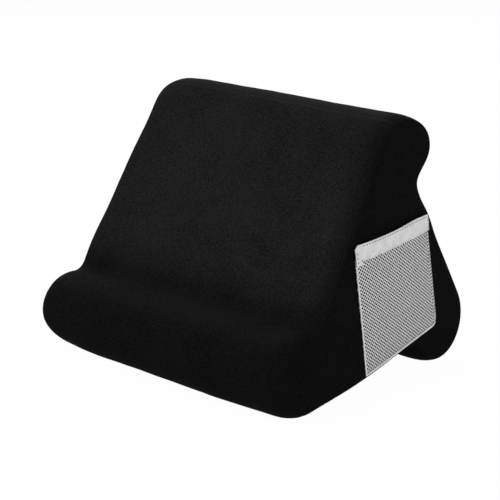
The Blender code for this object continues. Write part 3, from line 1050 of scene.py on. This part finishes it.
def add_stitch(name, point, along, outward, make):
    """One stitch: a thread that dives into the tape at both ends."""
    deselect()
    bpy.ops.mesh.primitive_uv_sphere_add(segments=8, ring_count=6, radius=1.0)
    stitch = bpy.context.active_object
    stitch.name = name
    across = outward.cross(along).normalized()
    for vertex in stitch.data.vertices:
        local = vertex.co.copy()
        sink = abs(local.z) ** 2 * make.stitch_thread * 0.8
        spot = point + along * local.z * make.stitch_length / 2
        spot += across * local.x * make.stitch_thread
        spot += outward * (local.y * make.stitch_thread - sink)
        vertex.co = spot
    return stitch


def stitch_line(surface, start, end, off, make):
    """Places and directions of stitches on a line over the pocket, given in shares."""
    first, last = surface.point(*start, off), surface.point(*end, off)
    count = max(1, round((last - first).length / make.stitch_pitch))
    found = []
    for i in range(count):
        share = (i + 0.5) / count
        here = [start[k] + (end[k] - start[k]) * share for k in range(2)]
        ahead = [here[k] + (end[k] - start[k]) * 0.01 for k in range(2)]
        point = surface.point(*here, off)
        along = (surface.point(*ahead, off) - point).normalized()
        outward = Vector((1, 0, 0))
        outward = (outward - along * outward.dot(along)).normalized()
        found.append((point, along, outward))
    return found


class STAND_OT_stitches(bpy.types.Operator):
    """Sew the pocket's band down with rows of small stitches"""

    bl_idname = "stand.stitches"
    bl_label = "Pocket stitches"

    def execute(self, context):
        make, finish = context.scene.stand_pocket, context.scene.stand_finish
        surface = pocket_surface(context.scene)
        over = BAND_OFF + make.band_thickness + STITCH_OFF
        band = make.band_height / surface.height
        fold = over + EDGE_THICKNESS
        # Each line of stitches: its start, its end and its distance off the pocket's inner face
        dark = (
            ((0.075, 1 - 0.11 * band), (0.985, 1 - 0.11 * band), over),
            ((0.012, 1 - 0.34 * band), (0.012, 1 - 1.12 * band), fold),
            ((0.050, 1 - 0.78 * band), (0.050, 1 - 1.05 * band), fold),
            ((0.985, 1 - 0.20 * band), (0.985, 1 - 0.92 * band), over),
        )
        pale = (((0.03, 1 - 0.93 * band), (0.98, 1 - 0.93 * band), over),)
        for name, lines, material in (
            ("pocket_stitching", dark, stitch_material(finish)),
            ("pocket_band_seam", pale, net_material(finish)),
        ):
            piece = joined_stitches(name, surface, lines, make)
            dress(piece, material, "tape")
        return {"FINISHED"}


def joined_stitches(name, surface, lines, make):
    """All stitches of some lines as one piece."""
    made = []
    for start, end, off in lines:
        for point, along, outward in stitch_line(surface, start, end, off, make):
            made.append(add_stitch(name, point, along, outward, make))
    deselect()
    for stitch in made:
        stitch.select_set(True)
    bpy.context.view_layer.objects.active = made[0]
    bpy.ops.object.join()
    piece = bpy.context.active_object
    edit_all(piece)
    bpy.ops.mesh.normals_make_consistent(inside=False)
    bpy.ops.object.mode_set(mode="OBJECT")
    smooth_by_angle(piece, 60)
    return piece


# Materials

def new_material(name):
    """A material with only its surface shader and its output."""
    material = bpy.data.materials.new(name)
    material.use_nodes = True
    tree = material.node_tree
    shader = tree.nodes["Principled BSDF"]
    return material, tree, shader


def add_node(tree, kind, **values):
    """A node with settings by name. Names that end in _in set the default of an input."""
    node = tree.nodes.new(kind)
    for name, value in values.items():
        if name.endswith("_in"):
            node.inputs[name[:-3].replace("_", " ").title()].default_value = value
        else:
            setattr(node, name, value)
    return node


def group_tree(name, inputs, outputs):
    tree = bpy.data.node_groups.new(name, "ShaderNodeTree")
    for title, kind, default in inputs:
        made = tree.interface.new_socket(title, in_out="INPUT", socket_type=kind)
        if default is not None:
            made.default_value = default
    for title, kind in outputs:
        tree.interface.new_socket(title, in_out="OUTPUT", socket_type=kind)
    return tree, tree.nodes.new("NodeGroupInput"), tree.nodes.new("NodeGroupOutput")


def math_node(tree, operation, first, second):
    node = tree.nodes.new("ShaderNodeMath")
    node.operation = operation
    for socket, value in zip(node.inputs, (first, second)):
        if isinstance(value, (int, float)):
            socket.default_value = value
        else:
            tree.links.new(value, socket)
    return node.outputs[0]


def speckle_group():
    """Fine fibre speckle and soft mottling, each from 0 to 1."""
    known = bpy.data.node_groups.get("Fibre speckle")
    if known:
        return known
    tree, inner, outer = group_tree(
        "Fibre speckle",
        (
            ("Vector", "NodeSocketVector", None),
            ("Fineness", "NodeSocketFloat", 700.0),
            ("Patches", "NodeSocketFloat", 30.0),
        ),
        (("Speckle", "NodeSocketFloat"), ("Mottle", "NodeSocketFloat")),
    )
    fine = add_node(tree, "ShaderNodeTexNoise", detail_in=2.0, roughness_in=0.7)
    broad = add_node(tree, "ShaderNodeTexNoise", detail_in=3.0, roughness_in=0.55)
    for node, title in ((fine, "Fineness"), (broad, "Patches")):
        tree.links.new(inner.outputs["Vector"], node.inputs["Vector"])
        tree.links.new(inner.outputs[title], node.inputs["Scale"])
    tree.links.new(fine.outputs["Fac"], outer.inputs["Speckle"])
    tree.links.new(broad.outputs["Fac"], outer.inputs["Mottle"])
    return tree


def object_coordinates(tree):
    return tree.nodes.new("ShaderNodeTexCoord").outputs["Object"]


def use_speckle(tree, fineness, patches):
    """Places the speckle group on Object coordinates."""
    group = tree.nodes.new("ShaderNodeGroup")
    group.node_tree = speckle_group()
    tree.links.new(object_coordinates(tree), group.inputs["Vector"])
    group.inputs["Fineness"].default_value = fineness
    group.inputs["Patches"].default_value = patches
    return group


def mixed_colour(tree, share, dark, light):
    """A colour between two by a share."""
    mix = tree.nodes.new("ShaderNodeMix")
    mix.data_type = "RGBA"
    mix.inputs["A"].default_value = (*dark, 1.0)
    mix.inputs["B"].default_value = (*light, 1.0)
    tree.links.new(share, mix.inputs["Factor"])
    return mix.outputs["Result"]


def add_bump(tree, shader, height, strength, distance):
    bump = tree.nodes.new("ShaderNodeBump")
    bump.inputs["Strength"].default_value = strength
    bump.inputs["Distance"].default_value = distance
    tree.links.new(height, bump.inputs["Height"])
    tree.links.new(bump.outputs["Normal"], shader.inputs["Normal"])


def contrast(tree, value, gain):
    """Spreads a value round 0.5, kept from 0 to 1."""
    spread = math_node(tree, "MULTIPLY", math_node(tree, "SUBTRACT", value, 0.5), gain)
    raised = math_node(tree, "ADD", spread, 0.5)
    raised.node.use_clamp = True
    return raised


def with_part(tree, share, value, weight):
    """A share with a weighted part of another value on top."""
    return math_node(tree, "ADD", share, math_node(tree, "MULTIPLY", value, weight))


def velvet_material(finish):
    """Short black pile: speckled tips, patches where the pile lies differently, a painted highlight
    along the seams, and painted light and shade from each panel's attribute.
    """
    material, tree, shader = new_material("black_velvet")
    pile = use_speckle(tree, 950.0, 24.0)
    tips = contrast(tree, pile.outputs["Speckle"], 4.0)
    patches = contrast(tree, pile.outputs["Mottle"], 1.8)
    # Painted highlight along the seams, read from the seam attribute
    seam = add_node(tree, "ShaderNodeAttribute", attribute_name="seam")
    # Painted light and shade on each panel, read from its attribute
    nap = add_node(tree, "ShaderNodeAttribute", attribute_name="nap")
    share = math_node(tree, "MULTIPLY", tips, 0.74)
    share = with_part(tree, share, patches, 0.26)
    share = with_part(tree, share, seam.outputs["Fac"], 1.6)
    pile_colour = mixed_colour(tree, share, finish.velvet_dark, finish.velvet_light)
    # The pile's colour scaled by the painted light and shade
    colour_with_painted_light = add_node(tree, "ShaderNodeVectorMath", operation="SCALE")
    tree.links.new(pile_colour, colour_with_painted_light.inputs["Vector"])
    tree.links.new(nap.outputs["Fac"], colour_with_painted_light.inputs["Scale"])
    tree.links.new(colour_with_painted_light.outputs["Vector"], shader.inputs["Base Color"])
    shader.inputs["Roughness"].default_value = 0.92
    shader.inputs["Specular IOR Level"].default_value = 0.01
    shader.inputs["Sheen Weight"].default_value = 0.008
    shader.inputs["Sheen Roughness"].default_value = 0.35
    shader.inputs["Sheen Tint"].default_value = (0.62, 0.60, 0.62, 1.0)
    add_bump(tree, shader, pile.outputs["Speckle"], 0.35, 0.0006)
    return material


def speckled_material(name, fineness, patches, gain, colours, roughness):
    """A matt material that is speckled between two colours. Also its tree, shader and speckle."""
    material, tree, shader = new_material(name)
    fibres = use_speckle(tree, fineness, patches)
    share = contrast(tree, fibres.outputs["Speckle"], gain)
    tree.links.new(mixed_colour(tree, share, *colours), shader.inputs["Base Color"])
    shader.inputs["Roughness"].default_value = roughness
    return material, tree, shader, fibres.outputs["Speckle"]


def darker(tone, share):
    return [part * share for part in tone]


def foam_material(finish):
    """Open-celled foam."""
    colours = (darker(finish.foam, 0.8), finish.foam)
    material, tree, shader, cells = speckled_material("pale_foam", 900.0, 40.0, 2.0, colours, 0.95)
    add_bump(tree, shader, cells, 0.5, 0.0006)
    return material


def net_material(finish):
    """Matt white-grey knitting thread."""
    known = bpy.data.materials.get("net_thread")
    if known:
        return known
    colours = (darker(finish.net, 0.62), finish.net)
    material, tree, shader, fibres = speckled_material("net_thread", 1100.0, 90.0, 1.8, colours, 0.75)
    add_bump(tree, shader, fibres, 0.4, 0.0003)
    return material


def stitch_material(finish):
    """Dark sewing thread."""
    colours = (darker(finish.stitch, 0.5), finish.stitch)
    return speckled_material("dark_thread", 2500.0, 300.0, 1.0, colours, 0.7)[0]


def tape_material(finish):
    """Pale woven tape: fine ribs, fibre speckle and soft mottling."""
    material, tree, shader = new_material("pale_tape")
    fibres = use_speckle(tree, 900.0, 130.0)
    ribs = add_node(tree, "ShaderNodeTexWave", wave_type="BANDS", bands_direction="Y",
                    scale_in=150.0, distortion_in=1.2)
    tree.links.new(object_coordinates(tree), ribs.inputs["Vector"])
    share = math_node(tree, "MULTIPLY", contrast(tree, fibres.outputs["Mottle"], 3.2), 0.62)
    share = with_part(tree, share, fibres.outputs["Speckle"], 0.32)
    share = with_part(tree, share, ribs.outputs["Fac"], 0.06)
    pale = mixed_colour(tree, share, darker(finish.tape, 0.74), finish.tape)
    tree.links.new(pale, shader.inputs["Base Color"])
    shader.inputs["Roughness"].default_value = 0.8
    add_bump(tree, shader, ribs.outputs["Fac"], 0.35, 0.0002)
    return material


# How much of the floor's look is plain white. The rest keeps the stand's shadow
WHITE_SHARE = 0.975


def floor_material(finish):
    """Pale floor that the camera sees as white, with the stand's faint shadow on it."""
    material, tree, shader = new_material("white_floor")
    output = tree.nodes["Material Output"]
    shader.inputs["Base Color"].default_value = (*finish.floor, 1.0)
    shader.inputs["Roughness"].default_value = 0.9
    grain = add_node(tree, "ShaderNodeTexNoise", scale_in=30.0)
    tree.links.new(object_coordinates(tree), grain.inputs["Vector"])
    add_bump(tree, shader, grain.outputs["Fac"], 0.02, 0.0005)
    glow = add_node(tree, "ShaderNodeEmission", strength_in=1.0)
    ray = tree.nodes.new("ShaderNodeLightPath")
    seen = math_node(tree, "MAXIMUM", ray.outputs["Is Camera Ray"], ray.outputs["Is Glossy Ray"])
    share = math_node(tree, "MULTIPLY", seen, WHITE_SHARE)
    mix = tree.nodes.new("ShaderNodeMixShader")
    tree.links.new(share, mix.inputs["Fac"])
    tree.links.new(shader.outputs["BSDF"], mix.inputs[1])
    tree.links.new(glow.outputs["Emission"], mix.inputs[2])
    tree.links.new(mix.outputs["Shader"], output.inputs["Surface"])
    return material


# Studio

def add_camera(studio):
    camera = bpy.data.objects.new("camera", bpy.data.cameras.new("camera"))
    bpy.context.scene.collection.objects.link(camera)
    turn, rise, roll = studio.azimuth, studio.elevation, studio.roll
    back = Vector((math.sin(turn) * math.cos(rise), -math.cos(turn) * math.cos(rise), math.sin(rise)))
    right = Vector((math.cos(turn), math.sin(turn), 0.0))
    up = back.cross(right)
    across = right * math.cos(roll) + up * math.sin(roll)
    above = up * math.cos(roll) - right * math.sin(roll)
    matrix = Matrix((across, above, back)).transposed().to_4x4()
    matrix.translation = Vector(studio.target) + back * studio.distance
    camera.matrix_world = matrix
    camera.data.sensor_width = 36.0
    camera.data.lens = studio.focal_pixels / studio.picture * camera.data.sensor_width
    camera.data.shift_x = 0.5 - studio.centre_x / studio.picture
    camera.data.shift_y = studio.centre_y / studio.picture - 0.5
    camera.data.clip_start = 0.05
    camera.data.clip_end = 50.0
    bpy.context.scene.camera = camera


# Places of the lamps, their width, and the point of the stand that they face
LAMPS = (
    ("key", (-0.7, -1.5, 1.6)),
    ("fill", (1.7, -0.3, 0.9)),
    ("back", (-1.3, 1.4, 1.2)),
)
LAMP_WIDTH = 1.2
LIT_POINT = (0.0, 0.0, 0.1)


def add_lamp(name, spot, power):
    """A square soft lamp that faces the stand."""
    lamp = bpy.data.objects.new(name, bpy.data.lights.new(name, "AREA"))
    lamp.data.shape = "SQUARE"
    lamp.data.size = LAMP_WIDTH
    lamp.data.energy = power
    bpy.context.scene.collection.objects.link(lamp)
    facing = Vector(spot) - Vector(LIT_POINT)
    matrix = facing.to_track_quat("Z", "Y").to_matrix().to_4x4()
    matrix.translation = Vector(spot)
    lamp.matrix_world = matrix


def set_world(strength):
    """White for the camera and in gloss, and an even light for everything else."""
    world = bpy.data.worlds.new("studio")
    bpy.context.scene.world = world
    world.use_nodes = True
    tree = world.node_tree
    background = tree.nodes["Background"]
    background.inputs["Color"].default_value = (1.0, 1.0, 1.0, 1.0)
    ray = tree.nodes.new("ShaderNodeLightPath")
    seen = math_node(tree, "MAXIMUM", ray.outputs["Is Camera Ray"], ray.outputs["Is Glossy Ray"])
    seen = math_node(tree, "MAXIMUM", seen, ray.outputs["Is Transmission Ray"])
    level = math_node(tree, "ADD", math_node(tree, "MULTIPLY", seen, 1.0 - strength), strength)
    tree.links.new(level, background.inputs["Strength"])


class STAND_OT_studio(bpy.types.Operator):
    """Make the floor, the lamps and the camera"""

    bl_idname = "stand.studio"
    bl_label = "Studio"

    def execute(self, context):
        studio = context.scene.stand_studio
        deselect()
        bpy.ops.mesh.primitive_grid_add(x_subdivisions=8, y_subdivisions=8, size=12.0)
        floor = context.active_object
        floor.name = "floor"
        floor.data.materials.append(floor_material(context.scene.stand_finish))
        for name, spot in LAMPS:
            add_lamp(name + "_lamp", spot, getattr(studio, name + "_power"))
        set_world(studio.room_light)
        add_camera(studio)
        context.scene.view_settings.view_transform = "Standard"
        return {"FINISHED"}


class STAND_PT_panel(bpy.types.Panel):
    """The steps that make the stand, in their order"""

    bl_idname = "STAND_PT_panel"
    bl_label = "Tablet cushion stand"
    bl_space_type = "VIEW_3D"
    bl_region_type = "UI"
    bl_category = "Stand"

    def draw(self, context):
        for kind in OPERATORS:
            self.layout.operator(kind.bl_idname)


OPERATORS = (STAND_OT_studio, STAND_OT_cover, STAND_OT_tapes, STAND_OT_net, STAND_OT_stitches)
GROUPS = (
    ("stand_form", StandForm),
    ("stand_cover", CoverMake),
    ("stand_pocket", PocketMake),
    ("stand_finish", Finish),
    ("stand_studio", Studio),
)


def register():
    for name, kind in GROUPS:
        bpy.utils.register_class(kind)
        setattr(bpy.types.Scene, name, PointerProperty(type=kind))
    for kind in (*OPERATORS, STAND_PT_panel):
        bpy.utils.register_class(kind)


def unregister():
    for kind in (STAND_PT_panel, *reversed(OPERATORS)):
        bpy.utils.unregister_class(kind)
    for name, kind in reversed(GROUPS):
        delattr(bpy.types.Scene, name)
        bpy.utils.unregister_class(kind)


def main():
    register()
    bpy.ops.stand.studio()
    bpy.ops.stand.cover()
    bpy.ops.stand.tapes()
    bpy.ops.stand.net()
    bpy.ops.stand.stitches()


if __name__ == "__main__":
    main()
